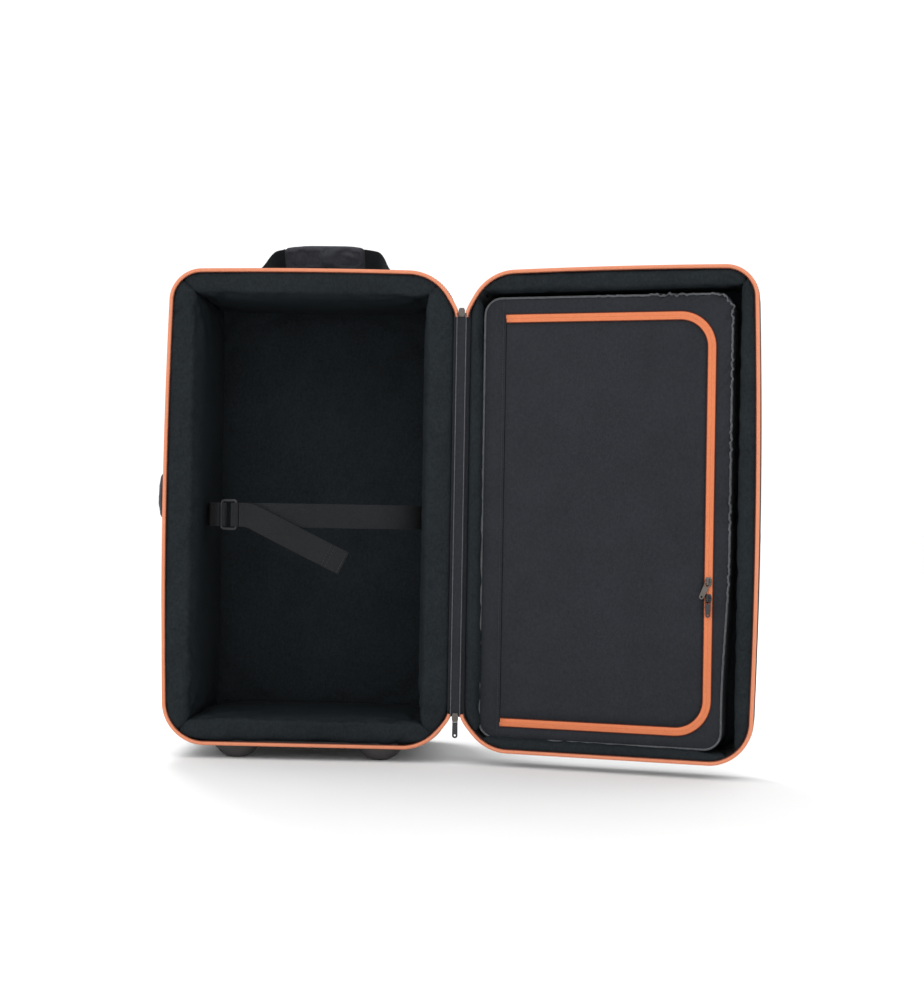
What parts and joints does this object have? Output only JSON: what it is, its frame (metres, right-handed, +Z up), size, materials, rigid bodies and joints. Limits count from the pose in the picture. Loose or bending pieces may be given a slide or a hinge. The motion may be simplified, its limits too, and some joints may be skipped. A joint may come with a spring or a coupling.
{
  "type": "telescope carry case",
  "caption": "Padded soft case for a telescope tube: deep zipped base with a retaining strap, shallow hinged lid with a pocket, carry handles and feet.",
  "frame": {"origin": "on the floor, under the middle of the bounding box of the whole case with its lid open", "axes": "+Z up; +X from the base towards the lid; -Y out of the open base towards the viewer"},
  "size_m": [1.0034, 0.4278, 0.8661],
  "materials": {
    "outer_fabric": "matte",
    "lining": "matte",
    "pocket_fabric": "matte",
    "zip_orange": "matte",
    "binding": "matte",
    "webbing": "matte",
    "grip_fabric": "matte",
    "foot_rubber": "matte",
    "ring_plastic": "satin",
    "board": "matte",
    "slider_metal": "satin",
    "slider_dark": "satin",
    "pull_dark": "satin",
    "screw_steel": "satin"
  },
  "bodies": {
    "base": {"base_gusset": "outer_fabric", "base_back_shell": "outer_fabric", "base_back_board": "board", "base_pad_back": "lining", "base_pad_far": "lining", "base_pad_hinge": "lining", "base_pad_high": "lining", "base_pad_low": "lining", "base_zip_tape": "zip_orange", "base_bottom_board": "board", "hinge_strip": "webbing", "foot_front_left": "foot_rubber", "foot_screw_front_left": "screw_steel", "foot_front_right": "foot_rubber", "foot_screw_front_right": "screw_steel", "foot_back_left": "foot_rubber", "foot_screw_back_left": "screw_steel", "foot_back_right": "foot_rubber", "foot_screw_back_right": "screw_steel", "top_handle_patch_a": "webbing", "top_handle_patch_b": "webbing", "side_handle_patch_a": "webbing", "side_handle_patch_b": "webbing", "strap_band": "webbing", "strap_loop": "webbing"},
    "lid": {"lid_gusset": "outer_fabric", "lid_front_shell": "outer_fabric", "lid_front_board": "board", "lid_pad_front": "lining", "lid_pad_far": "lining", "lid_pad_hinge": "lining", "lid_pad_high": "lining", "lid_pad_low": "lining", "lid_zip_tape": "zip_orange", "pocket_panel": "pocket_fabric", "pocket_gusset": "pocket_fabric", "pocket_binding": "binding", "pocket_zip_tape_outer": "zip_orange"},
    "pocket_flap": {"pocket_flap": "pocket_fabric", "pocket_zip_tape_inner": "zip_orange"},
    "top_handle": {"top_handle_webbing": "webbing", "top_handle_grip": "grip_fabric"},
    "side_handle": {"side_handle_webbing": "webbing", "side_handle_grip": "grip_fabric"},
    "strap_ring": {"strap_ring": "ring_plastic"},
    "strap_tail": {"strap_tail": "webbing"},
    "main_lower_slider": {"main_lower_slider": "slider_metal"},
    "main_lower_pull": {"main_lower_pull": "pull_dark"},
    "main_upper_slider": {"main_upper_slider": "slider_metal"},
    "main_upper_pull": {"main_upper_pull": "pull_dark"},
    "pocket_upper_slider": {"pocket_upper_slider": "slider_metal"},
    "pocket_upper_pull": {"pocket_upper_pull": "slider_metal"},
    "pocket_lower_slider": {"pocket_lower_slider": "slider_dark"},
    "pocket_lower_pull": {"pocket_lower_pull": "pull_dark"}
  },
  "joints": [
    {"name": "lid_hinge", "type": "hinge", "parent": "base", "child": "lid", "pos_m": [0.01529, -0.09014, 0.407], "axis": [0, 0, 1], "range_deg": [-165, 15]},
    {"name": "pocket_flap_fold", "type": "hinge", "parent": "lid", "child": "pocket_flap", "pos_m": [0.08634, -0.09158, 0], "axis": [0, 0, -1], "range_deg": [0, 120]},
    {"name": "pocket_upper_slider_travel", "type": "slide", "parent": "pocket_flap", "child": "pocket_upper_slider", "axis": [0, 0, 1], "range_m": [0, 0.345]},
    {"name": "pocket_lower_slider_travel", "type": "slide", "parent": "pocket_flap", "child": "pocket_lower_slider", "axis": [0, 0, -1], "range_m": [0, 0.14]},
    {"name": "main_lower_slider_travel", "type": "slide", "parent": "base", "child": "main_lower_slider", "axis": [0, 0, -1], "range_m": [0, 0.03]},
    {"name": "main_upper_slider_travel", "type": "slide", "parent": "base", "child": "main_upper_slider", "axis": [0, 0, 1], "range_m": [0, 0.03]},
    {"name": "pocket_upper_pull_swing", "type": "hinge", "parent": "pocket_upper_slider", "child": "pocket_upper_pull", "pos_m": [0.40607, -0.18108, 0.3027], "axis": [-0.8824, 0.2364, 0.4067], "range_deg": [0, 135]},
    {"name": "pocket_lower_pull_swing", "type": "hinge", "parent": "pocket_lower_slider", "child": "pocket_lower_pull", "pos_m": [0.40607, -0.18108, 0.2767], "axis": [-0.9659, 0.2588, 0], "range_deg": [0, 135]},
    {"name": "main_lower_pull_swing", "type": "hinge", "parent": "main_lower_slider", "child": "main_lower_pull", "pos_m": [0.01529, -0.08754, 0.0742], "axis": [1, 0, 0], "range_deg": [0, 150]},
    {"name": "main_upper_pull_swing", "type": "hinge", "parent": "main_upper_slider", "child": "main_upper_pull", "pos_m": [0.01529, -0.08754, 0.7252], "axis": [1, 0, 0], "range_deg": [0, 150]},
    {"name": "top_handle_swing", "type": "hinge", "parent": "base", "child": "top_handle", "pos_m": [-0.22521, 0.06486, 0.806], "axis": [1, 0, 0], "range_deg": [-20, 110]},
    {"name": "side_handle_swing", "type": "hinge", "parent": "base", "child": "side_handle", "pos_m": [-0.47671, 0.06486, 0.425], "axis": [0, 0, 1], "range_deg": [-42, 42]},
    {"name": "strap_ring_tilt", "type": "hinge", "parent": "base", "child": "strap_ring", "pos_m": [-0.37524, -0.04403, 0.395], "axis": [0, 0, 1], "range_deg": [-5, 5]},
    {"name": "strap_tail_peel", "type": "hinge", "parent": "base", "child": "strap_tail", "pos_m": [-0.34289, -0.06486, 0.395], "axis": [0, 0, -1], "range_deg": [0, 100]}
  ]
}
